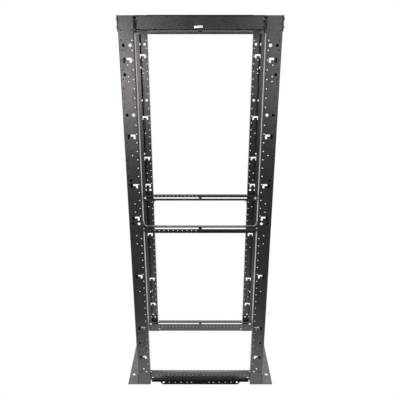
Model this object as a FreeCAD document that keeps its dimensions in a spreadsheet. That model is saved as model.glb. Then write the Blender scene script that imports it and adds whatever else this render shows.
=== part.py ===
import FreeCAD, Part
import functools
import math
import os
import Sketcher
from FreeCAD import Vector

# A four-post open rack, seven feet high: a front and a rear frame of folded sheet steel,
# joined at the floor and at the top by angles along both sides.
# Millimetres. The origin is on the floor at the middle of the rack, +X to the right,
# +Y from the front frame to the rear frame, +Z up.

doc = FreeCAD.newDocument("four_post_rack")

# Driving sizes, each with its name, value and meaning
SIZES = [
    ("rack_height", 2133.6, "floor to the top of the top beams"),
    ("rack_depth", 580.0, "face of the front posts to face of the rear posts"),
    ("opening_width", 618.0, "clear width between the left and right posts"),
    ("gauge", 2.5, "sheet thickness of posts and beams"),
    ("bend_radius", 2.0, "inside radius of the post's folds"),
    ("post_face", 76.0, "width of a post's face"),
    ("post_flange", 38.0, "depth of a post"),
    ("post_lip", 28.0, "return lip on the outer flange of a post"),
    ("post_top_gap", 3.0, "the posts stop this far below the top of the rack"),
    ("hole_pitch", 44.45, "height of one rack unit, one hole row to the next"),
    ("column_spacing", 50.8, "between the two hole columns of a post"),
    ("small_hole", 6.0, "diameter of the small holes"),
    ("large_hole", 15.4, "diameter of the large holes"),
    ("large_spacing", 32.0, "between the two large holes of a pair"),
    ("hook_width", 40.0, "width of an arched slot"),
    ("hook_height", 23.0, "height of an arched slot"),
    ("hook_bar", 10.0, "height of the slot's upper bar"),
    ("hook_leg", 10.0, "width of each leg of the slot"),
    ("foot_hole", 10.0, "diameter of the three holes near the foot"),
    ("foot_hole_spacing", 30.0, "between the two lower holes near the foot"),
    ("foot_hole_level", 97.0, "height of the two lower holes near the foot"),
    ("foot_hole_rise", 22.0, "from the two lower holes up to the third"),
    ("beam_height", 78.0, "height of the top and base beams"),
    ("beam_overlap", 64.0, "how far a beam's web runs behind each post"),
    ("bay_flange", 20.0, "depth of the flange that faces the equipment bay"),
    ("step_flange", 17.0, "depth of the outer flange beside the posts"),
    ("flange_gap", 4.0, "side clearance of the flanges between the posts"),
    ("flange_step", 61.0, "from a post to the full depth of the outer flange"),
    ("flange_corner", 14.0, "chamfer on the corners of the outer flange"),
    ("long_slot", 10.0, "height of the long slots in a beam"),
    ("long_slot_edge", 8.0, "from the bay edge of a beam to its long slots"),
    ("slot_bridge", 17.0, "steel left between the two long slots"),
    ("slot_end", 21.0, "from the end of a beam's web to its long slot"),
    ("end_hole", 9.0, "diameter of the hole near each end of a beam"),
    ("end_hole_edge", 20.0, "from the outer edge of a beam to its end holes"),
    ("end_hole_gap", 9.0, "from a post to the end hole beside it"),
    ("flange_hole", 16.5, "diameter of the two large holes in the outer flange"),
    ("flange_hole_offset", 230.0, "from the middle of a beam to those holes"),
    ("flange_hole_edge", 17.5, "from the outer flange's free edge to its holes"),
    ("crossbar_height", 40.0, "height of a crossbar"),
    ("crossbar_flange", 18.0, "depth of a crossbar's flanges"),
    ("crossbar_slot", 9.0, "height of a crossbar's long slots"),
    ("crossbar_row_number", 23.0, "hole rows below the one that the crossbars cover"),
    ("tab_radius", 16.0, "inside radius of the crossbar's turned-up tabs"),
    ("tab_height", 26.0, "height of a turned-up tab over the top flange"),
    ("angle_gauge", 3.0, "thickness of the side angles"),
    ("angle_upright", 72.0, "height of the side angles' upright leg"),
    ("base_angle_leg", 65.0, "width of the base angle on the floor"),
    ("top_angle_leg", 40.0, "width of the top angle's level leg"),
    ("angle_end_gap", 4.0, "from a beam to the end of the top angle's level leg"),
    ("anchor_hole", 19.0, "diameter of the floor anchor holes"),
    ("anchor_reach", 40.0, "from a post's side to the anchor hole"),
    ("anchor_setback", 86.0, "from the rack's face to the anchor hole"),
]

# Heights above the floor of what is cut in the face of every post
HOOK_LEVELS = [205.5, 413.7, 763.0, 1118.0, 1302.0, 1564.0, 1933.0]
LARGE_PAIR_LEVELS = [1088.0, 1673.0, 2000.3]
LARGE_OUTER_LEVELS = [311.2, 1333.5, 1866.9]
CENTRE_HOLE_LEVELS = [266.7, 320.0, 666.8, 969.0, 1017.0, 1155.7, 1203.0, 1466.9, 1834.9, 1858.0, 1911.4]
# The rows of small holes on a post are counted in rack units from the floor
FIRST_ROW = 3
# The large pairs take the place of these rows
SKIPPED_ROWS = [24, 37]
# The rows whose inner holes bolt down the lowest and highest equipment of a bay: those holes are round
BAY_END_ROWS = [3, 22, 25, 45]
# Side of a four-sided hole as a share of the diameter of the round hole of the same area
SQUARE_SHARE = 0.886

sheet = doc.addObject("Spreadsheet::Sheet", "sizes")
sheet.set("A1", "size")
sheet.set("B1", "value")
sheet.set("C1", "meaning")
for number, (alias, value, meaning) in enumerate(SIZES, start=2):
    sheet.set(f"A{number}", alias)
    sheet.set(f"B{number}", str(value))
    sheet.set(f"C{number}", meaning)
    sheet.setAlias(f"B{number}", alias)


def add_levels(prefix, levels, meaning):
    """Put a list of places into the sheet and return their aliases."""
    first_row = 2
    while sheet.getContents(f"A{first_row}"):
        first_row += 1
    aliases = []
    for index, level in enumerate(levels):
        alias = f"{prefix}_{'abcdefghijklmn'[index]}"
        sheet.set(f"A{first_row + index}", alias)
        sheet.set(f"B{first_row + index}", str(level))
        sheet.set(f"C{first_row + index}", meaning)
        sheet.setAlias(f"B{first_row + index}", alias)
        aliases.append(f"sizes.{alias}")
    doc.recompute()
    return aliases


hook_levels = add_levels("hook_level", HOOK_LEVELS, "height of an arched slot's middle")
pair_levels = add_levels("pair_level", LARGE_PAIR_LEVELS, "height of a pair of large holes")
outer_levels = add_levels("outer_level", LARGE_OUTER_LEVELS, "height of a single large hole")
centre_levels = add_levels("centre_level", CENTRE_HOLE_LEVELS, "height of a hole on the middle line")
doc.recompute()


@functools.cache
def size(text):
    """Work out an expression on the sheet's values in plain numbers."""
    expression_holder = doc.getObject("calculator") or doc.addObject("App::FeaturePython", "calculator")
    if "result" not in expression_holder.PropertiesList:
        expression_holder.addProperty("App::PropertyFloat", "result", "")
    expression_holder.setExpression("result", text)
    doc.recompute([expression_holder])
    return expression_holder.result


# Places worked out from the driving sizes
HALF_OPENING = "(sizes.opening_width / 2)"
POST_CENTRE = "(sizes.opening_width / 2 + sizes.post_face / 2)"
HALF_WIDTH = "(sizes.opening_width / 2 + sizes.post_face)"
HALF_DEPTH = "(sizes.rack_depth / 2)"
HALF_WEB = "(sizes.opening_width / 2 + sizes.beam_overlap)"
FLANGE_END = "(sizes.opening_width / 2 - sizes.flange_gap)"
STEP_END = "(sizes.opening_width / 2 - sizes.flange_step)"
SLOT_OUTER_END = "(sizes.opening_width / 2 + sizes.beam_overlap - sizes.slot_end)"


def new_body(label):
    body = doc.addObject("PartDesign::Body", label)
    body.Label = label
    doc.recompute()
    return body


def place(body, x_text, y_text, z_text):
    """Bind the place of a body to the sheet."""
    for axis, text in zip("xyz", (x_text, y_text, z_text)):
        body.setExpression(f"Placement.Base.{axis}", text)


def sketch_on(body, plane, label):
    sketch = body.newObject("Sketcher::SketchObject", label)
    for feature in body.Origin.OriginFeatures:
        if feature.Role == plane:
            sketch.AttachmentSupport = [(feature, "")]
    sketch.MapMode = "FlatFace"
    return sketch


def constrain(sketch, rules):
    """Add constraints, each with the expression that drives it or None."""
    first = sketch.ConstraintCount
    sketch.addConstraint([rule for rule, text in rules])
    for index, (rule, text) in enumerate(rules, start=first):
        if text:
            sketch.setExpression(f"Constraints[{index}]", text)


def held_at(geometry, end, x_text, y_text):
    """The two rules that hold one point of a curve at a place given by two expressions."""
    return [(Sketcher.Constraint(kind, -1, 1, geometry, end, size(text)), text)
            for kind, text in (("DistanceX", x_text), ("DistanceY", y_text))]


def add_polygon(sketch, corners):
    """Draw a closed outline through corners, each a pair of expressions."""
    points = [Vector(size(x_text), size(y_text), 0) for x_text, y_text in corners]
    lines = sketch.addGeometry([Part.LineSegment(start, finish)
                                for start, finish in zip(points, points[1:] + points[:1])], False)
    rules = []
    for line, following in zip(lines, lines[1:] + lines[:1]):
        rules.append((Sketcher.Constraint("Coincident", line, 2, following, 1), None))
    for line, (x_text, y_text) in zip(lines, corners):
        rules += held_at(line, 1, x_text, y_text)
    constrain(sketch, rules)


def add_circle(sketch, x_text, y_text, diameter_text):
    centre = Vector(size(x_text), size(y_text), 0)
    circle = sketch.addGeometry(Part.Circle(centre, Vector(0, 0, 1), size(diameter_text) / 2), False)
    diameter = (Sketcher.Constraint("Diameter", circle, size(diameter_text)), diameter_text)
    constrain(sketch, held_at(circle, 3, x_text, y_text) + [diameter])


def add_square_hole(sketch, x_text, y_text, diameter_text):
    """Draw a small hole with four sides, as large in area as the round one it stands for."""
    half = f"{diameter_text} * {SQUARE_SHARE} / 2"
    add_polygon(sketch, [(f"{x_text} {x_sign} {half}", f"{y_text} {y_sign} {half}")
                         for x_sign, y_sign in (("-", "-"), ("+", "-"), ("+", "+"), ("-", "+"))])


def add_six_sided_hole(sketch, x_text, y_text, diameter_text):
    """Draw a larger hole with six sides, its flats level."""
    radius = f"{diameter_text} / 2"
    corners = []
    for turn in range(6):
        cosine, sine = (round(part(math.pi / 3 * turn), 6) for part in (math.cos, math.sin))
        corners.append((f"{x_text} + ({cosine}) * {radius}", f"{y_text} + ({sine}) * {radius}"))
    add_polygon(sketch, corners)


def add_long_slot(sketch, left_text, right_text, middle_text, height_text):
    """Draw a level slot with blunt ends, from one end to the other."""
    half, corner = f"({height_text}) / 2", f"({height_text}) / 3"
    add_polygon(sketch, [
        (f"{left_text} + {corner}", f"{middle_text} - {half}"),
        (f"{right_text} - {corner}", f"{middle_text} - {half}"),
        (right_text, f"{middle_text} - {half} + {corner}"),
        (right_text, f"{middle_text} + {half} - {corner}"),
        (f"{right_text} - {corner}", f"{middle_text} + {half}"),
        (f"{left_text} + {corner}", f"{middle_text} + {half}"),
        (left_text, f"{middle_text} + {half} - {corner}"),
        (left_text, f"{middle_text} - {half} + {corner}"),
    ])


def add_pad(body, sketch, length_text, reverse=False):
    pad = body.newObject("PartDesign::Pad", f"{sketch.Label}_pad")
    pad.Profile = sketch
    pad.Reversed = reverse
    pad.setExpression("Length", length_text)
    doc.recompute()
    return pad


def add_pocket(body, sketch, length_text, reverse=False):
    """Cut a sketch into a body and make sure that it took steel away."""
    before = body.Shape.Volume
    pocket = body.newObject("PartDesign::Pocket", f"{sketch.Label}_cut")
    pocket.Profile = sketch
    pocket.Reversed = reverse
    pocket.Refine = False
    pocket.setExpression("Length", length_text)
    doc.recompute()
    if not body.Shape.Volume < before:
        raise RuntimeError(f"{sketch.Label} cuts nothing")
    return pocket


def add_pattern(body, pocket, axis_role, count, pitch_text):
    """Repeat a cut along one of the body's axes."""
    pattern = body.newObject("PartDesign::LinearPattern", f"{pocket.Label}_row")
    pattern.Originals = [pocket]
    pattern.Refine = False
    axis = [feature for feature in body.Origin.OriginFeatures if feature.Role == axis_role][0]
    pattern.Direction = (axis, [""])
    pattern.Occurrences = count
    pattern.setExpression("Length", f"({count} - 1) * {pitch_text}")
    body.Tip = pattern
    doc.recompute()


def mirror(source, label, normal, base_texts=("0", "0", "0")):
    """Make the opposite hand of a piece across a plane of the rack."""
    copy = doc.addObject("Part::Mirroring", label)
    copy.Label = label
    copy.Source = source
    copy.Normal = normal
    for axis, text in zip("xyz", base_texts):
        copy.setExpression(f"Base.{axis}", text)
    doc.recompute()
    return copy


X_MIRROR = Vector(1, 0, 0)
Y_MIRROR = Vector(0, 1, 0)
Z_MIRROR = Vector(0, 0, 1)


def runs_between(first, last, skipped):
    """Split the rows from first to last into unbroken runs that leave out the skipped ones."""
    runs = []
    for row in range(first, last + 1):
        if row in skipped:
            continue
        if runs and runs[-1][1] == row - 1:
            runs[-1] = (runs[-1][0], row)
        else:
            runs.append((row, row))
    return runs


def make_post(label):
    """The front left post: a channel with a return lip, open towards the rack's inside.

    Its own frame has the middle of the face at x 0, the face at y 0 and the foot at z 0.
    """
    body = new_body(label)
    profile = sketch_on(body, "XY_Plane", "post_profile")
    half, flange, lip, gauge = "sizes.post_face / 2", "sizes.post_flange", "sizes.post_lip", "sizes.gauge"
    add_polygon(profile, [
        (f"-{half}", "0"),
        (half, "0"),
        (half, flange),
        (f"{half} - {gauge}", flange),
        (f"{half} - {gauge}", gauge),
        (f"-{half} + {gauge}", gauge),
        (f"-{half} + {gauge}", f"{flange} - {gauge}"),
        (f"-{half} + {lip}", f"{flange} - {gauge}"),
        (f"-{half} + {lip}", flange),
        (f"-{half}", flange),
    ])
    add_pad(body, profile, "sizes.rack_height - sizes.post_top_gap")
    round_folds(body)
    last_row = int(size("(sizes.rack_height - sizes.post_top_gap) / sizes.hole_pitch")) - 1
    for x_text, other_rows in (("-sizes.column_spacing / 2", []), ("sizes.column_spacing / 2", BAY_END_ROWS)):
        for first, last in runs_between(FIRST_ROW, last_row, SKIPPED_ROWS + other_rows):
            row = sketch_on(body, "XZ_Plane", f"holes_from_row_{first}")
            add_square_hole(row, x_text, f"({first} + 0.5) * sizes.hole_pitch", "sizes.small_hole")
            cut = add_pocket(body, row, "sizes.gauge + sizes.bend_radius")
            if last > first:
                add_pattern(body, cut, "Z_Axis", last - first + 1, "sizes.hole_pitch")
    face_cuts = sketch_on(body, "XZ_Plane", "face_cuts")
    for row in BAY_END_ROWS:
        add_circle(face_cuts, "sizes.column_spacing / 2", f"({row} + 0.5) * sizes.hole_pitch",
                   "sizes.small_hole")
    for level in pair_levels:
        for side in ("-", ""):
            add_six_sided_hole(face_cuts, f"{side}sizes.large_spacing / 2", level, "sizes.large_hole")
    for level in outer_levels:
        add_six_sided_hole(face_cuts, "-sizes.large_spacing / 2", level, "sizes.large_hole")
    for level in centre_levels:
        add_square_hole(face_cuts, "0", level, "sizes.small_hole")
    for side in ("-", ""):
        add_six_sided_hole(face_cuts, f"{side}sizes.foot_hole_spacing / 2", "sizes.foot_hole_level",
                           "sizes.foot_hole")
    add_six_sided_hole(face_cuts, "0", "sizes.foot_hole_level + sizes.foot_hole_rise", "sizes.foot_hole")
    add_pocket(body, face_cuts, "sizes.gauge + sizes.bend_radius")
    hooks = sketch_on(body, "XZ_Plane", "arched_slots")
    for level in hook_levels:
        add_arched_slot(hooks, level)
    add_pocket(body, hooks, "sizes.gauge + sizes.bend_radius")
    place(body, f"-{POST_CENTRE}", f"-{HALF_DEPTH}", "0")
    return body


def add_arched_slot(sketch, level):
    """Draw a slot like an upside-down U, centred on the face at one height."""
    side, leg = "sizes.hook_width / 2", "sizes.hook_leg"
    top = f"{level} + sizes.hook_height / 2"
    foot = f"{level} - sizes.hook_height / 2"
    under_bar = f"{level} + sizes.hook_height / 2 - sizes.hook_bar"
    add_polygon(sketch, [
        (f"-{side}", foot),
        (f"-{side} + {leg}", foot),
        (f"-{side} + {leg}", under_bar),
        (f"{side} - {leg}", under_bar),
        (f"{side} - {leg}", foot),
        (side, foot),
        (side, top),
        (f"-{side}", top),
    ])


def round_folds(body):
    """Round the folds of a post inside and outside, and leave its free edges square."""
    half, flange = size("sizes.post_face / 2"), size("sizes.post_flange")
    gauge = size("sizes.gauge")
    outside = [(-half, 0), (half, 0), (-half, flange)]
    inside = [(-half + gauge, gauge), (half - gauge, gauge), (-half + gauge, flange - gauge)]
    for corners, radius_text in ((outside, "sizes.bend_radius + sizes.gauge"), (inside, "sizes.bend_radius")):
        base = body.Tip
        names = []
        for index, edge in enumerate(base.Shape.Edges, start=1):
            start, finish = edge.Vertexes[0].Point, edge.Vertexes[-1].Point
            upright = abs(start.x - finish.x) + abs(start.y - finish.y) < 1e-6
            if upright and any(abs(start.x - x) + abs(start.y - y) < 1e-6 for x, y in corners):
                names.append(f"Edge{index}")
        fold = body.newObject("PartDesign::Fillet", "folds")
        fold.Base = (base, names)
        fold.setExpression("Radius", radius_text)
        doc.recompute()


def add_long_slots(body, middle_text, height_text):
    """Cut the two long slots of a beam, with a bridge between them."""
    slots = sketch_on(body, "XZ_Plane", "long_slots")
    add_long_slot(slots, f"-{SLOT_OUTER_END}", "-sizes.slot_bridge / 2", middle_text, height_text)
    add_long_slot(slots, "sizes.slot_bridge / 2", SLOT_OUTER_END, middle_text, height_text)
    add_pocket(body, slots, "sizes.gauge")


def make_top_beam(label):
    """The front top beam: its web lies behind the posts and its flanges point forward.

    Its own frame has y 0 on the web's front face and z 0 on the beam's outer, upper edge.
    """
    body = new_body(label)
    web = sketch_on(body, "XZ_Plane", "web")
    add_polygon(web, [
        (f"-{HALF_WEB}", "-sizes.beam_height"),
        (HALF_WEB, "-sizes.beam_height"),
        (HALF_WEB, "0"),
        (f"-{HALF_WEB}", "0"),
    ])
    add_pad(body, web, "sizes.gauge", reverse=True)
    flange = sketch_on(body, "XY_Plane", "outer_flange")
    full, step = "-sizes.post_flange", "-sizes.step_flange"
    corner = "sizes.flange_corner"
    add_polygon(flange, [
        (f"-{FLANGE_END}", "sizes.gauge"),
        (f"-{FLANGE_END}", step),
        (f"-{STEP_END}", step),
        (f"-{STEP_END}", f"{full} + {corner}"),
        (f"-{STEP_END} + {corner}", full),
        (f"{STEP_END} - {corner}", full),
        (STEP_END, f"{full} + {corner}"),
        (STEP_END, step),
        (FLANGE_END, step),
        (FLANGE_END, "sizes.gauge"),
    ])
    add_pad(body, flange, "sizes.gauge", reverse=True)
    bay = sketch_on(body, "XZ_Plane", "bay_flange")
    add_polygon(bay, [
        (f"-{FLANGE_END}", "-sizes.beam_height"),
        (FLANGE_END, "-sizes.beam_height"),
        (FLANGE_END, "-sizes.beam_height + sizes.gauge"),
        (f"-{FLANGE_END}", "-sizes.beam_height + sizes.gauge"),
    ])
    add_pad(body, bay, "sizes.bay_flange")
    slot_middle = "-sizes.beam_height + sizes.long_slot_edge + sizes.long_slot / 2"
    add_long_slots(body, slot_middle, "sizes.long_slot")
    ends = sketch_on(body, "XZ_Plane", "end_holes")
    for sign in ("-", ""):
        add_six_sided_hole(ends, f"{sign}({HALF_OPENING} - sizes.end_hole_gap)", "-sizes.end_hole_edge",
                           "sizes.end_hole")
    add_pocket(body, ends, "sizes.gauge")
    flange_holes = sketch_on(body, "XY_Plane", "flange_holes")
    for sign in ("-", ""):
        add_six_sided_hole(flange_holes, f"{sign}sizes.flange_hole_offset",
                           "-sizes.post_flange + sizes.flange_hole_edge", "sizes.flange_hole")
    add_pocket(body, flange_holes, "sizes.gauge")
    place(body, "0", f"-{HALF_DEPTH} + sizes.post_flange", "sizes.rack_height")
    return body


def make_crossbar(label):
    """The front crossbar: a small channel whose top flange turns up against both posts.

    Its own frame has y 0 on the web's front face and z 0 at its mid-height.
    """
    body = new_body(label)
    half_height = "sizes.crossbar_height / 2"
    upper = sketch_on(body, "XZ_Plane", "upper_flange")
    tab_top = f"{half_height} + sizes.tab_height"
    add_polygon(upper, [
        (f"-{HALF_OPENING}", f"{half_height} - sizes.gauge"),
        (HALF_OPENING, f"{half_height} - sizes.gauge"),
        (HALF_OPENING, tab_top),
        (f"{HALF_OPENING} - sizes.gauge", tab_top),
        (f"{HALF_OPENING} - sizes.gauge", half_height),
        (f"-{HALF_OPENING} + sizes.gauge", half_height),
        (f"-{HALF_OPENING} + sizes.gauge", tab_top),
        (f"-{HALF_OPENING}", tab_top),
    ])
    add_pad(body, upper, "sizes.crossbar_flange")
    bend_tabs(body)
    web = sketch_on(body, "XZ_Plane", "crossbar_web")
    add_polygon(web, [
        (f"-{HALF_WEB}", f"-{half_height}"),
        (HALF_WEB, f"-{half_height}"),
        (HALF_WEB, half_height),
        (f"-{HALF_WEB}", half_height),
    ])
    add_pad(body, web, "sizes.gauge", reverse=True)
    lower = sketch_on(body, "XZ_Plane", "lower_flange")
    add_polygon(lower, [
        (f"-{FLANGE_END}", f"-{half_height}"),
        (FLANGE_END, f"-{half_height}"),
        (FLANGE_END, f"-{half_height} + sizes.gauge"),
        (f"-{FLANGE_END}", f"-{half_height} + sizes.gauge"),
    ])
    add_pad(body, lower, "sizes.crossbar_flange")
    add_long_slots(body, "0", "sizes.crossbar_slot")
    place(body, "0", f"-{HALF_DEPTH} + sizes.post_flange",
          "(sizes.crossbar_row_number + 0.5) * sizes.hole_pitch")
    return body


def bend_tabs(body):
    """Bend the corners where the top flange turns up, inside and outside."""
    half_opening, gauge = size(HALF_OPENING), size("sizes.gauge")
    flange_top = size("sizes.crossbar_height / 2")
    inside = (half_opening - gauge, flange_top)
    outside = (half_opening, flange_top - gauge)
    for (x, z), radius_text in ((inside, "sizes.tab_radius"), (outside, "sizes.tab_radius + sizes.gauge")):
        base = body.Tip
        names = []
        for index, edge in enumerate(base.Shape.Edges, start=1):
            start, finish = edge.Vertexes[0].Point, edge.Vertexes[-1].Point
            runs_back = abs(start.x - finish.x) + abs(start.z - finish.z) < 1e-6
            if runs_back and abs(abs(start.x) - x) + abs(start.z - z) < 1e-6:
                names.append(f"Edge{index}")
        curve = body.newObject("PartDesign::Fillet", "tab_curves")
        curve.Base = (base, names)
        curve.setExpression("Radius", radius_text)
        doc.recompute()


def make_base_angle(label):
    """The left base angle: its upright leg lies against the posts, the other on the floor."""
    body = new_body(label)
    profile = sketch_on(body, "XZ_Plane", "base_angle_profile")
    add_polygon(profile, [
        ("0", "0"),
        ("0", "sizes.angle_upright"),
        ("-sizes.angle_gauge", "sizes.angle_upright"),
        ("-sizes.angle_gauge", "sizes.angle_gauge"),
        ("-sizes.base_angle_leg", "sizes.angle_gauge"),
        ("-sizes.base_angle_leg", "0"),
    ])
    add_pad(body, profile, "sizes.rack_depth", reverse=True)
    anchors = sketch_on(body, "XY_Plane", "anchor_holes")
    for y_text in ("sizes.anchor_setback", "sizes.rack_depth - sizes.anchor_setback"):
        add_circle(anchors, "-sizes.anchor_reach", y_text, "sizes.anchor_hole")
    add_pocket(body, anchors, "sizes.angle_gauge", reverse=True)
    place(body, f"-{HALF_WIDTH}", f"-{HALF_DEPTH}", "0")
    return body


def make_top_angle(label):
    """The left top angle: its level leg points inward, between the top beams."""
    body = new_body(label)
    upright = sketch_on(body, "XZ_Plane", "upright_leg")
    add_polygon(upright, [
        ("0", "0"),
        ("-sizes.angle_gauge", "0"),
        ("-sizes.angle_gauge", "-sizes.angle_upright"),
        ("0", "-sizes.angle_upright"),
    ])
    add_pad(body, upright, "sizes.rack_depth", reverse=True)
    level_leg = sketch_on(body, "XY_Plane", "level_leg")
    leg_start = "sizes.post_flange + sizes.gauge + sizes.angle_end_gap"
    add_polygon(level_leg, [
        ("-sizes.angle_gauge", leg_start),
        ("sizes.top_angle_leg - sizes.angle_gauge", leg_start),
        ("sizes.top_angle_leg - sizes.angle_gauge", f"sizes.rack_depth - ({leg_start})"),
        ("-sizes.angle_gauge", f"sizes.rack_depth - ({leg_start})"),
    ])
    add_pad(body, level_leg, "sizes.angle_gauge", reverse=True)
    place(body, f"-{HALF_WIDTH}", f"-{HALF_DEPTH}", "sizes.rack_height")
    return body


MID_HEIGHT = ("0", "0", "sizes.rack_height / 2")
CROSSBAR_MIDDLE = ("0", "0", "(sizes.crossbar_row_number + 0.5) * sizes.hole_pitch")

pieces = []

front_left_post = make_post("front_left_post")
rear_left_post = mirror(front_left_post, "rear_left_post", Y_MIRROR)
pieces += [front_left_post, rear_left_post]
for left in (front_left_post, rear_left_post):
    pieces.append(mirror(left, left.Label.replace("left", "right"), X_MIRROR))

front_top_beam = make_top_beam("front_top_beam")
rear_top_beam = mirror(front_top_beam, "rear_top_beam", Y_MIRROR)
pieces += [front_top_beam, rear_top_beam]
for top in (front_top_beam, rear_top_beam):
    pieces.append(mirror(top, top.Label.replace("top", "base"), Z_MIRROR, MID_HEIGHT))

front_crossbar = make_crossbar("front_crossbar")
turned_crossbar = mirror(front_crossbar, "turned_crossbar", Z_MIRROR, CROSSBAR_MIDDLE)
rear_crossbar = mirror(turned_crossbar, "rear_crossbar", Y_MIRROR)
pieces += [front_crossbar, rear_crossbar]

for left_angle in (make_base_angle("left_base_angle"), make_top_angle("left_top_angle")):
    pieces += [left_angle, mirror(left_angle, left_angle.Label.replace("left", "right"), X_MIRROR)]

doc.recompute()

for item in doc.Objects:
    if "Invalid" in item.State or "Error" in item.State:
        raise RuntimeError(f"{item.Label} failed: {item.State}")

os.makedirs("parts", exist_ok=True)
for piece in pieces:
    shape = piece.Shape
    if shape.isNull() or not shape.isValid():
        raise RuntimeError(f"{piece.Label} has no valid shape")
    if len(shape.Solids) != 1:
        raise RuntimeError(f"{piece.Label} has {len(shape.Solids)} solids")
    box = shape.BoundBox
    print(f"{piece.Label}: {box.XMin:.1f} {box.XMax:.1f}, {box.YMin:.1f} {box.YMax:.1f}, "
          f"{box.ZMin:.1f} {box.ZMax:.1f}, volume {shape.Volume:.0f}")
    shape.exportStep(f"parts/{piece.Label}.step")
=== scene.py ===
"""A tall open equipment rack: folded steel posts, slotted beams, crossbars and side angles."""

import logging
import math
from dataclasses import dataclass
from enum import Enum
from typing import Callable

import bmesh
import bpy
from mathutils import Matrix, Vector


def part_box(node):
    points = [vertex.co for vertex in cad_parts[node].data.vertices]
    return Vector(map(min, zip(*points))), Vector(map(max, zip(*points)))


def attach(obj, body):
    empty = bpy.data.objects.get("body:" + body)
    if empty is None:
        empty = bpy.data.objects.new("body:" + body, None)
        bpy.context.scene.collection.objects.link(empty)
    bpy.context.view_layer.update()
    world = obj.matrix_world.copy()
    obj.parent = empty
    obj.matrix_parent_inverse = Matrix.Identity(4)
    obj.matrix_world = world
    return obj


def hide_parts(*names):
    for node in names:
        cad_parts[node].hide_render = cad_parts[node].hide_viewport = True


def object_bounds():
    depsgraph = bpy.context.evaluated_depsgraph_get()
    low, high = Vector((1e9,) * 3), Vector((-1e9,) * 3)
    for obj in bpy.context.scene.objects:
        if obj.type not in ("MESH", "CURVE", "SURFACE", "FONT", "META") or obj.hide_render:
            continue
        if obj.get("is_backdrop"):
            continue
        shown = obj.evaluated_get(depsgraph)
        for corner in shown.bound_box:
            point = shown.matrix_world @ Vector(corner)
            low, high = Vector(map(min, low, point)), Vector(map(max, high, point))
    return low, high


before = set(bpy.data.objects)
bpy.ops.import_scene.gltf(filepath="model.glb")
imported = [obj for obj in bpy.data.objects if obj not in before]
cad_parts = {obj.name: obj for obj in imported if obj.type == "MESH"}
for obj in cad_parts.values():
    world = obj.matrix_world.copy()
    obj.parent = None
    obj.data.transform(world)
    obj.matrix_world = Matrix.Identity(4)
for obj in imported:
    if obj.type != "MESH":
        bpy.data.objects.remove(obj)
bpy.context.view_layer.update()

log = logging.getLogger("rack")

BODY = "root"
UP = Vector((0.0, 0.0, 1.0))
ALONG_X = Vector((1.0, 0.0, 0.0))
ALONG_Y = Vector((0.0, 1.0, 0.0))
TINY = 1e-6
NOISE_LOW, NOISE_HIGH = 0.3, 0.7
FACING_FRONT = Matrix.Rotation(math.pi / 2, 4, "X")
FACING_REAR = Matrix.Rotation(math.pi, 4, "Z") @ FACING_FRONT
UPSIDE_DOWN = Matrix.Scale(-1.0, 4, UP) @ FACING_REAR

Colour = tuple[float, float, float, float]


class Slot(Enum):
    """The record's material slots."""

    POWDER_COAT = "powder_coat"
    ZINC = "zinc"


class Signal:
    """One socket of a shader tree that takes part in Python sums and products."""

    def __init__(self, tree: bpy.types.NodeTree, socket: bpy.types.NodeSocket) -> None:
        """Wrap a socket.

        Args:
            tree: The node tree that holds the socket.
            socket: The output socket.
        """
        self.tree = tree
        self.socket = socket

    def _maths(self, operation: str, first: "Signal | float", second: "Signal | float") -> "Signal":
        """Add one Math node.

        Args:
            operation: The node's operation.
            first: The upper input.
            second: The lower input.

        Returns:
            The node's result.
        """
        node = self.tree.nodes.new("ShaderNodeMath")
        node.operation = operation
        for place, value in enumerate((first, second)):
            if isinstance(value, Signal):
                self.tree.links.new(value.socket, node.inputs[place])
            else:
                node.inputs[place].default_value = value
        return Signal(self.tree, node.outputs[0])

    def __add__(self, other: "Signal | float") -> "Signal":
        """Return this signal plus another."""
        return self._maths("ADD", self, other)

    def __sub__(self, other: "Signal | float") -> "Signal":
        """Return this signal less another."""
        return self._maths("SUBTRACT", self, other)

    def __rsub__(self, other: float) -> "Signal":
        """Return a number less this signal."""
        return self._maths("SUBTRACT", other, self)

    def __mul__(self, other: "Signal | float") -> "Signal":
        """Return this signal times another."""
        return self._maths("MULTIPLY", self, other)

    __radd__ = __add__
    __rmul__ = __mul__


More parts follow.
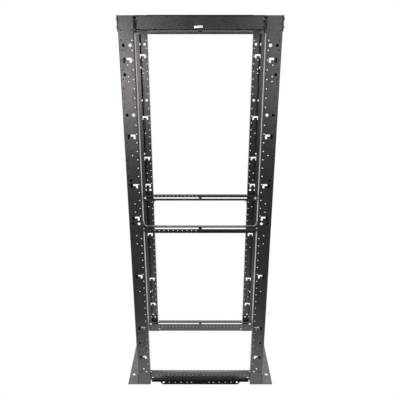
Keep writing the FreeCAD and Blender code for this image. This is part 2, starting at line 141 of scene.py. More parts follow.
class Shader:
    """The node tree of one finish."""

    def __init__(self, name: str) -> None:
        """Start an empty material.

        Args:
            name: The material's name.
        """
        self.material = bpy.data.materials.new(name)
        self.material.use_nodes = True
        self.tree = self.material.node_tree
        self.tree.nodes.clear()

    def node(self, kind: str, settings: dict[str, object], inputs: dict[str | int, object],
             output: str | int = 0) -> Signal:
        """Add any node.

        Args:
            kind: The node's type.
            settings: Properties of the node, which are set first.
            inputs: Values or signals for its sockets, by name or place.
            output: The output to hand back.

        Returns:
            The chosen output as a signal.
        """
        node = self.tree.nodes.new(kind)
        for name, value in settings.items():
            setattr(node, name, value)
        for place, value in inputs.items():
            if isinstance(value, Signal):
                self.tree.links.new(value.socket, node.inputs[place])
            else:
                node.inputs[place].default_value = value
        return Signal(self.tree, node.outputs[output])

    def place(self) -> Signal:
        """Return the point's place on the rack."""
        return self.node("ShaderNodeTexCoord", {}, {}, "Object")

    def noise(self, size: float, detail: float,
              stretch: tuple[float, float, float] = (1.0, 1.0, 1.0)) -> Signal:
        """Return a soft random pattern between 0 and 1.

        Args:
            size: The width of its blotches in metres.
            detail: How many finer layers it has.
            stretch: Its frequency along each axis.

        Returns:
            The pattern's value.
        """
        spot = self.node("ShaderNodeMapping", {}, {"Vector": self.place(), "Scale": stretch})
        return self.node("ShaderNodeTexNoise", {}, {"Vector": spot, "Scale": 1.0 / size, "Detail": detail})

    def share(self, signal: Signal, start: float, end: float) -> Signal:
        """Return how far a signal has come from one value to another, between 0 and 1.

        Args:
            signal: The signal.
            start: Where the share is 0.
            end: Where the share is 1.

        Returns:
            The share.
        """
        return self.node("ShaderNodeClamp", {}, {"Value": (signal - start) * (1.0 / (end - start))})

    def spread(self, noise: Signal, low: float, high: float) -> Signal:
        """Return a noise that lies between two values.

        Args:
            noise: The noise, most of which lies between NOISE_LOW and NOISE_HIGH.
            low: The value for its dark parts.
            high: The value for its bright parts.

        Returns:
            The new signal.
        """
        return low + (high - low) * self.share(noise, NOISE_LOW, NOISE_HIGH)

    def surface(self, inputs: dict[str, object]) -> bpy.types.Material:
        """Close the tree with a principled surface.

        Args:
            inputs: Values or signals for the surface's sockets.

        Returns:
            The finished material.
        """
        skin = self.node("ShaderNodeBsdfPrincipled", {}, inputs)
        output = self.tree.nodes.new("ShaderNodeOutputMaterial")
        self.tree.links.new(skin.socket, output.inputs["Surface"])
        return self.material


@dataclass(frozen=True)
class PowderCoat:
    """Black semi-gloss powder coat with a fine orange-peel skin."""

    dark: Colour = (0.030, 0.027, 0.029, 1.0)
    pale: Colour = (0.042, 0.038, 0.041, 1.0)
    gloss_low: float = 0.25
    gloss_high: float = 0.33
    gloss_size: float = 0.04
    gloss_detail: float = 4.0
    peel_size: float = 0.0022
    peel_detail: float = 2.0
    peel_depth: float = 0.00003
    peel: float = 0.12
    cloud_size: float = 0.12
    cloud_detail: float = 3.0
    specular: float = 0.6
    specular_tint: Colour = (1.0, 0.94, 1.0, 1.0)

    def material(self) -> bpy.types.Material:
        """Make the material.

        Returns:
            The powder coat.
        """
        shader = Shader("black_powder_coat")
        cloud = shader.noise(self.cloud_size, self.cloud_detail)
        colour = shader.node("ShaderNodeMix", {"data_type": "RGBA"},
                             {0: cloud, 6: self.dark, 7: self.pale}, 2)
        peel = shader.noise(self.peel_size, self.peel_detail)
        bump = shader.node("ShaderNodeBump", {}, {
            "Strength": self.peel, "Distance": self.peel_depth, "Height": peel})
        gloss = shader.noise(self.gloss_size, self.gloss_detail)
        return shader.surface({
            "Base Color": colour,
            "Roughness": shader.spread(gloss, self.gloss_low, self.gloss_high),
            "Specular IOR Level": self.specular,
            "Specular Tint": self.specular_tint,
            "Normal": bump,
        })


@dataclass(frozen=True)
class Zinc:
    """Bright zinc with a faint brushed grain, on the bolts and the blank plate."""

    name: str
    colour: Colour = (0.86, 0.86, 0.88, 1.0)
    gloss_low: float = 0.42
    gloss_high: float = 0.58
    grain_size: float = 0.0012
    grain_detail: float = 2.0
    grain_stretch: tuple[float, float, float] = (0.3, 1.0, 1.0)
    grain_depth: float = 0.00002
    grain: float = 0.15

    def material(self) -> bpy.types.Material:
        """Make the material.

        Returns:
            The zinc.
        """
        shader = Shader(self.name)
        grain = shader.noise(self.grain_size, self.grain_detail, self.grain_stretch)
        bump = shader.node("ShaderNodeBump", {}, {
            "Strength": self.grain, "Distance": self.grain_depth, "Height": grain})
        return shader.surface({
            "Base Color": self.colour,
            "Metallic": 1.0,
            "Roughness": shader.spread(grain, self.gloss_low, self.gloss_high),
            "Normal": bump,
        })


@dataclass(frozen=True)
class StudioWhite:
    """The glowing white of the studio, which may fade towards the front."""

    name: str
    glow: float = 1.0
    dim_glow: float = 1.0
    bright_from: float = 0.0
    dim_from: float = -1.0

    def material(self) -> bpy.types.Material:
        """Make the material.

        Returns:
            The studio's white.
        """
        shader = Shader(self.name)
        depth = shader.node("ShaderNodeSeparateXYZ", {}, {"Vector": shader.place()}, "Y")
        share = shader.share(depth, self.dim_from, self.bright_from)
        fade = self.dim_glow + (self.glow - self.dim_glow) * (share * share * (3.0 - 2.0 * share))
        white = shader.node("ShaderNodeCombineColor", {}, {"Red": fade, "Green": fade, "Blue": fade})
        return shader.surface({
            "Base Color": (0.0, 0.0, 0.0, 1.0),
            "Roughness": 1.0,
            "Specular IOR Level": 0.0,
            "Emission Color": white,
            "Emission Strength": 1.0,
        })


@dataclass(frozen=True)
class Gauge:
    """The steel sheet that the posts and beams are folded from."""

    thickness: float = 0.0025
    inside_radius: float = 0.002
    steps: int = 6

    @property
    def outside_radius(self) -> float:
        """Return the radius of a fold's outer skin."""
        return self.inside_radius + self.thickness

    def length(self, radius: float) -> float:
        """Return the flat length that a right-angled fold takes up.

        Args:
            radius: The fold's radius on the outer skin.

        Returns:
            The sum of the fold's chords.
        """
        return self.steps * self.chord(radius)

    def chord(self, radius: float) -> float:
        """Return the length of one facet of a right-angled fold."""
        return 2 * radius * math.sin(math.pi / 4 / self.steps)


class SheetPart:
    """A flat sheet with cut-outs that is then folded; its outer skin faces up and folds go down."""

    corner_steps: int = 3

    def __init__(self, gauge: Gauge) -> None:
        """Start with an empty sheet.

        Args:
            gauge: The steel that it is cut from.
        """
        self.gauge = gauge
        self.mesh = bmesh.new()

    def outline(self, corners: list[tuple[float, float]], radius: float = 0.0) -> None:
        """Add a closed outline, of the sheet itself or of a cut-out.

        Args:
            corners: Its corners in order.
            radius: How far the corners are rounded.
        """
        corner_points = [self.mesh.verts.new((x, y, 0.0)) for x, y in corners]
        for start, end in zip(corner_points, corner_points[1:] + corner_points[:1]):
            self.mesh.edges.new((start, end))
        if radius:
            bmesh.ops.bevel(self.mesh, geom=corner_points, offset=radius, offset_type="OFFSET",
                            affect="VERTICES", segments=self.corner_steps, profile=0.5, material=-1)

    def hole(self, x: float, y: float, diameter: float, edges: int) -> None:
        """Add a round cut-out.

        Args:
            x: Its middle across the sheet.
            y: Its middle up the sheet.
            diameter: Its width.
            edges: How many edges it has.
        """
        bmesh.ops.create_circle(self.mesh, cap_ends=False, segments=edges, radius=diameter / 2,
                                matrix=Matrix.Translation((x, y, 0.0)))

    def slot(self, left: float, right: float, y: float, height: float, corner: float) -> None:
        """Add a level slot with rounded corners.

        Args:
            left: Its left end.
            right: Its right end.
            y: Its middle up the sheet.
            height: Its height.
            corner: How far its corners are rounded.
        """
        low, high = y - height / 2, y + height / 2
        self.outline([(left, low), (right, low), (right, high), (left, high)], corner)

    def fill(self) -> None:
        """Fill the outline with steel, except for the cut-outs."""
        bmesh.ops.triangle_fill(self.mesh, edges=self.mesh.edges[:], use_beauty=True, use_dissolve=False,
                                normal=UP)

    def fold(self, start: Vector, outward: Vector, radius: float, downward: bool = True,
             moves: Callable[[Vector], bool] | None = None) -> None:
        """Fold all that lies beyond a line through a right angle.

        Args:
            start: A point on the line where the fold begins.
            outward: The direction from that line to what is folded.
            radius: The fold's radius on the outer skin.
            downward: Whether the fold goes away from the outer skin.
            moves: Says for a point whether it takes part, where not all do.
        """
        chord = self.gauge.chord(radius)
        for line in range(self.gauge.steps + 1):
            everything = self.mesh.verts[:] + self.mesh.edges[:] + self.mesh.faces[:]
            bmesh.ops.bisect_plane(self.mesh, geom=everything, dist=TINY / 10,
                                   plane_co=start + outward * chord * line, plane_no=outward)
        reach = {point: (point.co - start).dot(outward) for point in self.mesh.verts
                 if moves is None or moves(point.co)}
        step_turn = math.pi / 2 / self.gauge.steps * (1 if downward else -1)
        hinge, heading = start.copy(), outward.copy()
        for line in range(self.gauge.steps + 1):
            share = 0.5 if line in (0, self.gauge.steps) else 1.0
            turn = Matrix.Rotation(step_turn * share, 3, UP.cross(outward))
            beyond = [point for point, distance in reach.items() if distance > chord * line + TINY]
            bmesh.ops.rotate(self.mesh, cent=hinge, matrix=turn, verts=beyond)
            heading = turn @ heading
            hinge = hinge + heading * chord

    def finish(self, place: Matrix, mirrors: list[Vector] | None = None) -> bmesh.types.BMesh:
        """Give the sheet its thickness and put it in its place.

        Args:
            place: Where the sheet's own frame lies on the rack.
            mirrors: Planes through the origin, by their normals, that it is mirrored in.

        Returns:
            A closed mesh.
        """
        bmesh.ops.recalc_face_normals(self.mesh, faces=self.mesh.faces[:])
        self.mesh.normal_update()
        web = [face for face in self.mesh.faces if face.calc_center_median().z > -TINY]
        level = max(web, key=lambda face: face.calc_area())
        inwards = math.copysign(self.gauge.thickness, level.normal.z)
        bmesh.ops.solidify(self.mesh, geom=self.mesh.faces[:], thickness=inwards)
        bmesh.ops.transform(self.mesh, matrix=place, verts=self.mesh.verts[:])
        for normal in mirrors or []:
            flip = Matrix.Scale(-1.0, 4, normal)
            bmesh.ops.transform(self.mesh, matrix=flip, verts=self.mesh.verts[:])
        bmesh.ops.recalc_face_normals(self.mesh, faces=self.mesh.faces[:])
        return self.mesh


def make_piece(name: str, mesh: bmesh.types.BMesh, material: bpy.types.Material,
               replaced: str | None = None, edge_angle: float = math.radians(28)) -> bpy.types.Object:
    """Turn a mesh into a piece of the rack.

    Args:
        name: The piece's name.
        mesh: Its closed mesh, in the rack's own frame.
        material: Its finish.
        replaced: The node that it stands for, if any.
        edge_angle: Edges sharper than this are shaded as corners.

    Returns:
        The new object.
    """
    data = bpy.data.meshes.new(name)
    for edge in mesh.edges:
        edge.smooth = edge.calc_face_angle(math.pi) < edge_angle
    for face in mesh.faces:
        face.smooth = True
    mesh.to_mesh(data)
    mesh.free()
    piece = bpy.data.objects.new(name, data)
    bpy.context.scene.collection.objects.link(piece)
    data.materials.append(material)
    weigh = piece.modifiers.new("flat_faces", "WEIGHTED_NORMAL")
    weigh.keep_sharp = True
    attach(piece, BODY)
    if replaced:
        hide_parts(replaced)
    triangles = sum(len(face.vertices) - 2 for face in data.polygons)
    log.info("%s: %d triangles", name, triangles)
    return piece


@dataclass
class Posts:
    """The four posts: channels with a return lip, open towards the rack's inside."""

    gauge: Gauge
    material: bpy.types.Material
    lip: float = 0.028
    pitch: float = 0.04445
    column: float = 0.0254
    small: float = 0.006
    small_edges: int = 12
    large: float = 0.0154
    large_edges: int = 20
    large_offset: float = 0.016
    rows: tuple[tuple[int, int], ...] = ((3, 23), (25, 36), (38, 46))
    hook: tuple[float, float] = (0.040, 0.023)
    hook_bar: float = 0.010
    hook_leg: float = 0.010
    hook_corner: float = 0.0015
    lowest_hook_corner: float = 0.0045
    hook_levels: tuple[float, ...] = (0.2055, 0.4137, 0.763, 1.118, 1.302, 1.564, 1.933)
    pair_levels: tuple[float, ...] = (1.088, 1.673, 2.0003)
    outer_levels: tuple[float, ...] = (0.3112, 1.3335, 1.8669)
    centre_levels: tuple[float, ...] = (
        0.2667, 0.320, 0.6668, 0.969, 1.017, 1.1557, 1.203, 1.4669, 1.8349, 1.858, 1.9114)
    foot_hole: float = 0.010
    foot_edges: int = 16
    foot_offset: float = 0.015
    foot_level: float = 0.097
    foot_rise: float = 0.022

    def cut(self, sheet: SheetPart) -> None:
        """Cut every hole of a post's face.

        Args:
            sheet: The post's sheet.
        """
        for first, last in self.rows:
            for row in range(first, last + 1):
                for x in (-self.column, self.column):
                    sheet.hole(x, (row + 0.5) * self.pitch, self.small, self.small_edges)
        for level in self.pair_levels:
            for x in (-self.large_offset, self.large_offset):
                sheet.hole(x, level, self.large, self.large_edges)
        for level in self.outer_levels:
            sheet.hole(-self.large_offset, level, self.large, self.large_edges)
        for level in self.centre_levels:
            sheet.hole(0.0, level, self.small, self.small_edges)
        for x, rise in ((-self.foot_offset, 0.0), (self.foot_offset, 0.0), (0.0, self.foot_rise)):
            sheet.hole(x, self.foot_level + rise, self.foot_hole, self.foot_edges)
        self.cut_hooks(sheet)

    def cut_hooks(self, sheet: SheetPart) -> None:
        """Cut the hooks, of which the lowest has rounder corners.

        Args:
            sheet: The post's sheet.
        """
        width, height = self.hook
        half = width / 2
        for level in self.hook_levels:
            top, foot = level + height / 2, level - height / 2
            under = top - self.hook_bar
            corner = self.lowest_hook_corner if level == self.hook_levels[0] else self.hook_corner
            sheet.outline([
                (-half, foot), (-half + self.hook_leg, foot), (-half + self.hook_leg, under),
                (half - self.hook_leg, under), (half - self.hook_leg, foot), (half, foot),
                (half, top), (-half, top)], corner)

    def build(self) -> None:
        """Build all four posts."""
        low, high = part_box("front_left_post")
        radius = self.gauge.outside_radius
        fold = self.gauge.length(radius)
        flat_half = (high.x - low.x) / 2 - radius
        depth = high.y - low.y
        outer_flange = depth - 2 * radius
        inner_flange = depth - radius
        lip = self.lip - radius
        lip_start = -(flat_half + fold + outer_flange)
        for end, end_mirror in (("front", []), ("rear", [ALONG_Y])):
            for side, side_mirror in (("left", []), ("right", [ALONG_X])):
                sheet = SheetPart(self.gauge)
                left, right = lip_start - fold - lip, flat_half + fold + inner_flange
                sheet.outline([(left, 0.0), (right, 0.0), (right, high.z), (left, high.z)])
                self.cut(sheet)
                sheet.fill()
                sheet.fold(Vector((lip_start, 0.0, 0.0)), -ALONG_X, radius)
                sheet.fold(Vector((-flat_half, 0.0, 0.0)), -ALONG_X, radius)
                sheet.fold(Vector((flat_half, 0.0, 0.0)), ALONG_X, radius)
                place = Matrix.Translation(((low.x + high.x) / 2, low.y, 0.0)) @ FACING_FRONT
                node = f"{end}_{side}_post"
                mesh = sheet.finish(place, end_mirror + side_mirror)
                make_piece(f"{node}_steel", mesh, self.material, node)


@dataclass
class Beams:
    """The top and base beams: slotted webs behind the posts, with two flanges between them."""

    gauge: Gauge
    material: bpy.types.Material
    half_opening: float
    flange_gap: float = 0.004
    outer_flange: float = 0.038
    step_flange: float = 0.017
    bay_flange: float = 0.020
    step: float = 0.061
    corner: float = 0.014
    relief: float = 0.001
    slot_height: float = 0.010
    slot_edge: float = 0.008
    slot_ends: tuple[float, float] = (0.0085, 0.352)
    slot_corner: float = 0.003
    row_hole: float = 0.005
    row_edges: int = 10
    row_first: float = 0.02335
    row_pitch: float = 0.0254
    row_count: int = 12
    row_sides: tuple[int, ...] = (-1, 1)
    end_hole: float = 0.009
    end_hole_gap: float = 0.009
    end_hole_edge: float = 0.020
    hole_edges: int = 16
    flange_hole_edge: float = 0.0175
    flange_holes: tuple[tuple[float, float], ...] = (
        (0.230, 0.0145), (0.055, 0.0068), (0.082, 0.0068), (0.120, 0.0068), (0.157, 0.0068),
        (0.195, 0.0068))

    def cut_row(self, sheet: SheetPart, y: float) -> None:
        """Cut the row of small holes to one or both sides of the middle.

        Args:
            sheet: The beam's sheet.
            y: The row's height on it.
        """
        for index in range(self.row_count):
            for sign in self.row_sides:
                x = sign * (self.row_first + index * self.row_pitch)
                sheet.hole(x, y, self.row_hole, self.row_edges)

    def cut_slots(self, sheet: SheetPart, y: float, height: float) -> None:
        """Cut the two long slots.

        Args:
            sheet: The beam's sheet.
            y: The slots' height on it.
            height: How high they are.
        """
        near, far = self.slot_ends
        sheet.slot(-far, -near, y, height, self.slot_corner)
        sheet.slot(near, far, y, height, self.slot_corner)

    def sheet(self, half_web: float, height: float) -> SheetPart:
        """Cut and fold one beam.

        Args:
            half_web: Half the length of its web.
            height: How high it is.

        Returns:
            The folded sheet, its outer edge at y 0.
        """
        radius = self.gauge.outside_radius
        fold = self.gauge.length(radius)
        behind = self.gauge.thickness - radius
        end = self.half_opening - self.flange_gap
        ear = end + self.relief
        step_end = self.half_opening - self.step
        bay_line = -height + radius
        bay_edge = bay_line - fold - self.bay_flange - behind
        flat = -radius + fold + behind
        step_edge, free_edge = flat + self.step_flange, flat + self.outer_flange
        half = [
            (end, bay_edge), (end, bay_line), (ear, bay_line), (ear, -height), (half_web, -height),
            (half_web, 0.0), (ear, 0.0), (ear, -radius), (end, -radius), (end, step_edge),
            (step_end, step_edge), (step_end, free_edge - self.corner),
            (step_end - self.corner, free_edge)]
        sheet = SheetPart(self.gauge)
        sheet.outline(half + [(-x, y) for x, y in reversed(half)])
        self.cut_row(sheet, -height / 2)
        self.cut_slots(sheet, -height + self.slot_edge + self.slot_height / 2, self.slot_height)
        for sign in (-1, 1):
            x = sign * (self.half_opening - self.end_hole_gap)
            sheet.hole(x, -self.end_hole_edge, self.end_hole, self.hole_edges)
            for offset, diameter in self.flange_holes:
                sheet.hole(sign * offset, free_edge - self.flange_hole_edge, diameter, self.hole_edges)
        sheet.fill()
        for line, outward in ((-radius, ALONG_Y), (bay_line, -ALONG_Y)):
            sheet.fold(Vector((0.0, line, 0.0)), outward, radius,
                       moves=lambda point: abs(point.x) < end + self.relief / 2)
        return sheet

    def build(self) -> None:
        """Build the two top beams and the two base beams."""
        low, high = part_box("front_top_beam")
        height = high.z - low.z
        for level in ("top", "base"):
            for end, mirrors in (("front", []), ("rear", [ALONG_Y])):
                sheet = self.sheet(high.x, height)
                place = Matrix.Translation((0.0, high.y, high.z)) @ FACING_REAR
                if level == "base":
                    place = Matrix.Translation((0.0, high.y, 0.0)) @ UPSIDE_DOWN
                node = f"{end}_{level}_beam"
                mesh = sheet.finish(place, mirrors)
                make_piece(f"{node}_steel", mesh, self.material, node)


@dataclass
class Crossbars(Beams):
    """The two crossbars at mid-height, whose long flange turns up or down against the posts."""

    row_sides: tuple[int, ...] = (1,)
    bar_flange: float = 0.018
    bar_slot: float = 0.009
    row_drop: float = 0.012
    tab_radius: float = 0.016
    tab_height: float = 0.026

    def bar(self, half_web: float, half_height: float) -> SheetPart:
        """Cut and fold one crossbar.

        Args:
            half_web: Half the length of its web.
            half_height: Half its height.

        Returns:
            The folded sheet, its mid-height at y 0.
        """
        radius = self.gauge.outside_radius
        fold = self.gauge.length(radius)
        behind = self.gauge.thickness - radius
        end = self.half_opening - self.flange_gap
        ear = end + self.relief
        root = self.half_opening - self.gauge.thickness - self.tab_radius
        tab_end = root + self.gauge.length(self.tab_radius) + self.tab_height - self.tab_radius
        line = half_height - radius
        flange_start = line + fold
        flange_edge = flange_start + self.bar_flange + behind
        half = [
            (end, -flange_edge), (end, -line), (ear, -line), (ear, -half_height), (half_web, -half_height),
            (half_web, half_height), (root + self.relief, half_height), (root + self.relief, line),
            (root, line), (root, flange_start + self.relief), (tab_end, flange_start + self.relief),
            (tab_end, flange_edge)]
        sheet = SheetPart(self.gauge)
        sheet.outline(half + [(-x, y) for x, y in reversed(half)])
        self.cut_row(sheet, -self.row_drop)
        self.cut_slots(sheet, 0.0, self.bar_slot)
        sheet.fill()
        for sign in (-1, 1):
            sheet.fold(Vector((sign * root, 0.0, 0.0)), sign * ALONG_X, self.tab_radius, downward=False,
                       moves=lambda point: point.y > flange_start)
        cut = root + self.relief / 2
        sheet.fold(Vector((0.0, line, 0.0)), ALONG_Y, radius,
                   moves=lambda point: point.y > flange_start - TINY or abs(point.x) < cut)
        sheet.fold(Vector((0.0, -line, 0.0)), -ALONG_Y, radius,
                   moves=lambda point: abs(point.x) < end + self.relief / 2)
        return sheet

    def build(self) -> None:
        """Build the front and the rear crossbar."""
        low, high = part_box("front_crossbar")
        half_height = (high.z - low.z - self.tab_height) / 2
        middle = low.z + half_height
        seat = Matrix.Translation((0.0, high.y, middle))
        mesh = self.bar(high.x, half_height).finish(seat @ FACING_REAR)
        make_piece("front_crossbar_steel", mesh, self.material, "front_crossbar")
        mesh = self.bar(high.x, half_height).finish(seat @ UPSIDE_DOWN, [ALONG_Y])
        make_piece("rear_crossbar_steel", mesh, self.material, "rear_crossbar")


@dataclass
class SideAngles:
    """The angles that join the front and the rear frame along both sides."""

    material: bpy.types.Material
    nodes: tuple[str, ...] = ("left_base_angle", "right_base_angle", "left_top_angle", "right_top_angle")

    def build(self) -> None:
        """Dress the four angles."""
        for name in self.nodes:
            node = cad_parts[name]
            node.data.materials.clear()
            node.data.materials.append(self.material)
            log.info("%s: dressed", name)


@dataclass
class Bolts:
    """Zinc hexagon bolts with washers, where beams and angles are fastened to the posts."""

    material: bpy.types.Material
    across: float = 0.013
    head: float = 0.0045
    head_chamfer: float = 0.0009
    washer: float = 0.016
    washer_thickness: float = 0.0012
    washer_edges: int = 20
    washer_chamfer: float = 0.0003
    chamfer_steps: int = 2
    beam_bolt_x: float = 0.363
    beam_bolts: tuple[tuple[str, float], ...] = (
        ("front_top_beam", 0.013), ("rear_top_beam", 0.013),
        ("front_base_beam", -0.013), ("rear_base_beam", -0.013),
        ("front_crossbar", 0.020), ("rear_crossbar", -0.020))
    angle_bolt_drops: tuple[float, ...] = (0.0175, 0.054)
    angle_bolt_end: float = 0.019

    def bolt(self, mesh: bmesh.types.BMesh, seat: Vector, outward: Vector) -> None:
        """Add one bolt head and its washer.

        Args:
            mesh: The mesh to add it to.
            seat: The point that it sits on.
            outward: The direction that its head points.
        """
        aim = Matrix.Translation(seat) @ UP.rotation_difference(outward).to_matrix().to_4x4()
        for edges, radius, low, thick, chamfer in (
                (self.washer_edges, self.washer / 2, 0.0, self.washer_thickness, self.washer_chamfer),
                (6, self.across / math.sqrt(3), self.washer_thickness, self.head, self.head_chamfer)):
            middle = Matrix.Translation((0.0, 0.0, low + thick / 2))
            ring = bmesh.ops.create_cone(mesh, cap_ends=True, cap_tris=False, segments=edges,
                                         radius1=radius, radius2=radius, depth=thick,
                                         matrix=middle)["verts"]
            rim = [edge for edge in mesh.edges
                   if all(point in ring and point.co.z > low + thick / 2 for point in edge.verts)]
            new = bmesh.ops.bevel(mesh, geom=rim, offset=chamfer, offset_type="OFFSET", affect="EDGES",
                                  segments=self.chamfer_steps, profile=0.5, material=-1)["verts"]
            points = {point for point in ring if point.is_valid} | set(new)
            bmesh.ops.transform(mesh, matrix=aim, verts=list(points))

    def bolt_beams(self) -> None:
        """Build each beam's bolts, measured up from its lower edge or down from its upper one."""
        for node, rise in self.beam_bolts:
            low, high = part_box(node)
            level = (low.z if rise > 0 else high.z) + rise
            inner, inwards = (low.y, -ALONG_Y) if low.y > 0 else (high.y, ALONG_Y)
            mesh = bmesh.new()
            for x in (-self.beam_bolt_x, self.beam_bolt_x):
                self.bolt(mesh, Vector((x, inner, level)), inwards)
            make_piece(f"{node}_bolts", mesh, self.material)

    def bolt_angles(self) -> None:
        """Build each top angle's bolts, two above each other at either end."""
        for side, sign in (("left", -1), ("right", 1)):
            low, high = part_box(f"{side}_top_angle")
            outer = low.x if sign < 0 else high.x
            mesh = bmesh.new()
            for end in (low.y + self.angle_bolt_end, high.y - self.angle_bolt_end):
                for drop in self.angle_bolt_drops:
                    self.bolt(mesh, Vector((outer, end, high.z - drop)), sign * ALONG_X)
            make_piece(f"{side}_top_angle_bolts", mesh, self.material)

    def build(self) -> None:
        """Build the bolts of the beams and of the top angles."""
        self.bolt_beams()
        self.bolt_angles()


@dataclass
class BlankPlate:
    """The small bright plate on the front top beam, left blank."""

    material: bpy.types.Material
    width: float = 0.041
    height: float = 0.0105
    thickness: float = 0.0008
    corner: float = 0.0015
    corner_steps: int = 3
    middle_x: float = -0.009
    drop: float = 0.051
    tilt: float = math.radians(4.0)
    web_back: float = 0.0025

    def build(self) -> None:
        """Build the plate on the beam's web."""
        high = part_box("front_top_beam")[1]
        mesh = bmesh.new()
        cube = bmesh.ops.create_cube(mesh, size=1.0)["verts"]
        bmesh.ops.scale(mesh, vec=(self.width, self.thickness, self.height), verts=cube)
        upright = [edge for edge in mesh.edges if abs(edge.verts[0].co.y - edge.verts[1].co.y) > TINY]
        bmesh.ops.bevel(mesh, geom=upright, offset=self.corner, offset_type="OFFSET", affect="EDGES",
                        segments=self.corner_steps, profile=0.5, material=-1)
        seat = Vector((self.middle_x, high.y - self.web_back - self.thickness / 2, high.z - self.drop))
        place = Matrix.Translation(seat) @ Matrix.Rotation(-self.tilt, 4, "Y")
        bmesh.ops.transform(mesh, matrix=place, verts=mesh.verts[:])
        make_piece("blank_plate", mesh, self.material)


@dataclass(frozen=True)
class Softbox:
    """One rectangular soft light of the studio."""

    name: str
    spot: tuple[float, float, float]
    aim: tuple[float, float, float]
    width: float
    height: float
    brightness: float

    def build(self) -> None:
        """Hang the light, unseen by the camera itself."""
        lamp = bpy.data.lights.new(self.name, "AREA")
        lamp.shape = "RECTANGLE"
        lamp.size = self.width
        lamp.size_y = self.height
        lamp.energy = self.brightness * math.pi * self.width * self.height
        holder = bpy.data.objects.new(self.name, lamp)
        bpy.context.scene.collection.objects.link(holder)
        holder.location = self.spot
        holder.rotation_euler = (Vector(self.aim) - Vector(self.spot)).to_track_quat("-Z", "Y").to_euler()
        holder.visible_camera = False


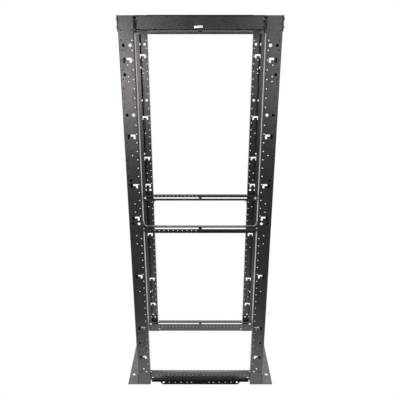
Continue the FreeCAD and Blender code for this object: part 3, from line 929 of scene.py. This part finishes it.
@dataclass
class Studio:
    """A white floor and backdrop that light the rack, soft lights, and an even white for the camera."""

    sweep_white: bpy.types.Material
    dome_white: bpy.types.Material
    half_width: float = 6.0
    front: float = -6.0
    back: float = 4.0
    wall_height: float = 5.0
    corner: float = 1.5
    corner_steps: int = 16
    dome_radius: float = 9.0
    dome_detail: int = 4
    under_floor: float = 0.001
    world_light: float = 0.06
    lights: tuple[Softbox, ...] = (
        Softbox("left_softbox", (-1.60, -4.0, 1.62), (0.0, 0.0, 1.3), 1.8, 1.3, 9.1),
        Softbox("right_softbox", (1.55, -4.0, 1.95), (0.0, 0.0, 1.3), 1.4, 1.7, 4.2),
        Softbox("back_softbox", (0.0, 3.4, 3.4), (0.0, 0.0, 1.0), 3.0, 1.6, 2.6),
    )

    def stage(self, name: str, mesh: bmesh.types.BMesh,
              material: bpy.types.Material) -> bpy.types.Object:
        """Turn a mesh into a part of the studio.

        Args:
            name: Its name.
            mesh: Its mesh.
            material: Its white.

        Returns:
            The new object.
        """
        for face in mesh.faces:
            face.smooth = True
        data = bpy.data.meshes.new(name)
        mesh.to_mesh(data)
        mesh.free()
        item = bpy.data.objects.new(name, data)
        bpy.context.scene.collection.objects.link(item)
        data.materials.append(material)
        item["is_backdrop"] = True
        return item

    def sweep(self) -> None:
        """Build the floor and backdrop that light the rack, as one sheet that only reflections see."""
        mesh = bmesh.new()
        bmesh.ops.create_grid(mesh, x_segments=1, y_segments=1, size=0.5)
        width, depth = 2 * self.half_width, self.back - self.front
        bmesh.ops.scale(mesh, vec=(width, depth, 1.0), verts=mesh.verts[:])
        middle = Vector((0.0, (self.back + self.front) / 2, -self.under_floor))
        bmesh.ops.translate(mesh, vec=middle, verts=mesh.verts[:])
        rear = [edge for edge in mesh.edges if all(point.co.y > self.back - TINY for point in edge.verts)]
        wall = bmesh.ops.extrude_edge_only(mesh, edges=rear)["geom"]
        raised = [item for item in wall if isinstance(item, bmesh.types.BMVert)]
        bmesh.ops.translate(mesh, vec=(0.0, 0.0, self.wall_height), verts=raised)
        corner = [edge for edge in mesh.edges
                  if all(point.co.y > self.back - TINY and point.co.z < TINY for point in edge.verts)]
        bmesh.ops.bevel(mesh, geom=corner, offset=self.corner, offset_type="OFFSET", affect="EDGES",
                        segments=self.corner_steps, profile=0.5, material=-1)
        self.stage("sweep", mesh, self.sweep_white).visible_camera = False

    def dome(self) -> None:
        """Build the white floor and dome that the camera sees, and nothing else does."""
        mesh = bmesh.new()
        bmesh.ops.create_icosphere(mesh, subdivisions=self.dome_detail, radius=self.dome_radius)
        everything = mesh.verts[:] + mesh.edges[:] + mesh.faces[:]
        bmesh.ops.bisect_plane(mesh, geom=everything, plane_co=(0.0, 0.0, -self.under_floor), plane_no=UP,
                               clear_inner=True)
        bmesh.ops.holes_fill(mesh, edges=mesh.edges[:])
        dome = self.stage("dome", mesh, self.dome_white)
        dome.visible_diffuse = False
        dome.visible_glossy = False
        dome.visible_shadow = False

    def build(self) -> None:
        """Build the sweep, the dome, the lights and the faint light all round."""
        self.sweep()
        self.dome()
        for softbox in self.lights:
            softbox.build()
        world = bpy.data.worlds.new("studio")
        bpy.context.scene.world = world
        world.use_nodes = True
        light = world.node_tree.nodes["Background"].inputs
        light["Color"].default_value = (1.0, 1.0, 1.0, 1.0)
        light["Strength"].default_value = self.world_light
        bpy.context.scene.view_settings.view_transform = "Standard"
        log.info("studio: %d lights", len(self.lights))


@dataclass
class PhotoCamera:
    """The camera at the photograph's place, for an image of 400 by 400 pixels."""

    image_width: float = 400.0
    focal_pixels: float = 442.1
    sensor: float = 36.0
    height: float = 2.0226
    distance: float = 2.207
    pitch: float = math.radians(19.86)
    yaw: float = math.radians(0.036)

    def build(self) -> None:
        """Place the camera and make it the scene's own."""
        lens = bpy.data.cameras.new("camera")
        lens.sensor_width = self.sensor
        lens.lens = self.focal_pixels / self.image_width * self.sensor
        holder = bpy.data.objects.new("camera", lens)
        bpy.context.scene.collection.objects.link(holder)
        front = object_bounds()[0].y
        holder.location = (0.0, front - self.distance, self.height)
        holder.rotation_euler = (math.pi / 2 - self.pitch, 0.0, self.yaw)
        bpy.context.scene.camera = holder
        log.info("camera: %.2f mm lens", lens.lens)


def main() -> None:
    """Build the camera, the rack's pieces and the studio."""
    logging.basicConfig(level=logging.INFO, format="%(message)s")
    PhotoCamera().build()
    gauge = Gauge()
    coat = PowderCoat().material()
    zinc = Zinc("bright_zinc").material()
    plate_zinc = Zinc("plate_zinc", colour=(0.92, 0.92, 0.92, 1.0), grain_size=0.006).material()
    half_opening = -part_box("front_left_post")[1].x
    Posts(gauge, coat).build()
    Beams(gauge, coat, half_opening).build()
    Crossbars(gauge, coat, half_opening).build()
    SideAngles(coat).build()
    Bolts(zinc).build()
    BlankPlate(plate_zinc).build()
    fading = StudioWhite("fading_white", glow=1.5, dim_glow=0.08, bright_from=-0.4, dim_from=-1.15)
    Studio(fading.material(), StudioWhite("plain_white").material()).build()


if __name__ == "__main__":
    main()
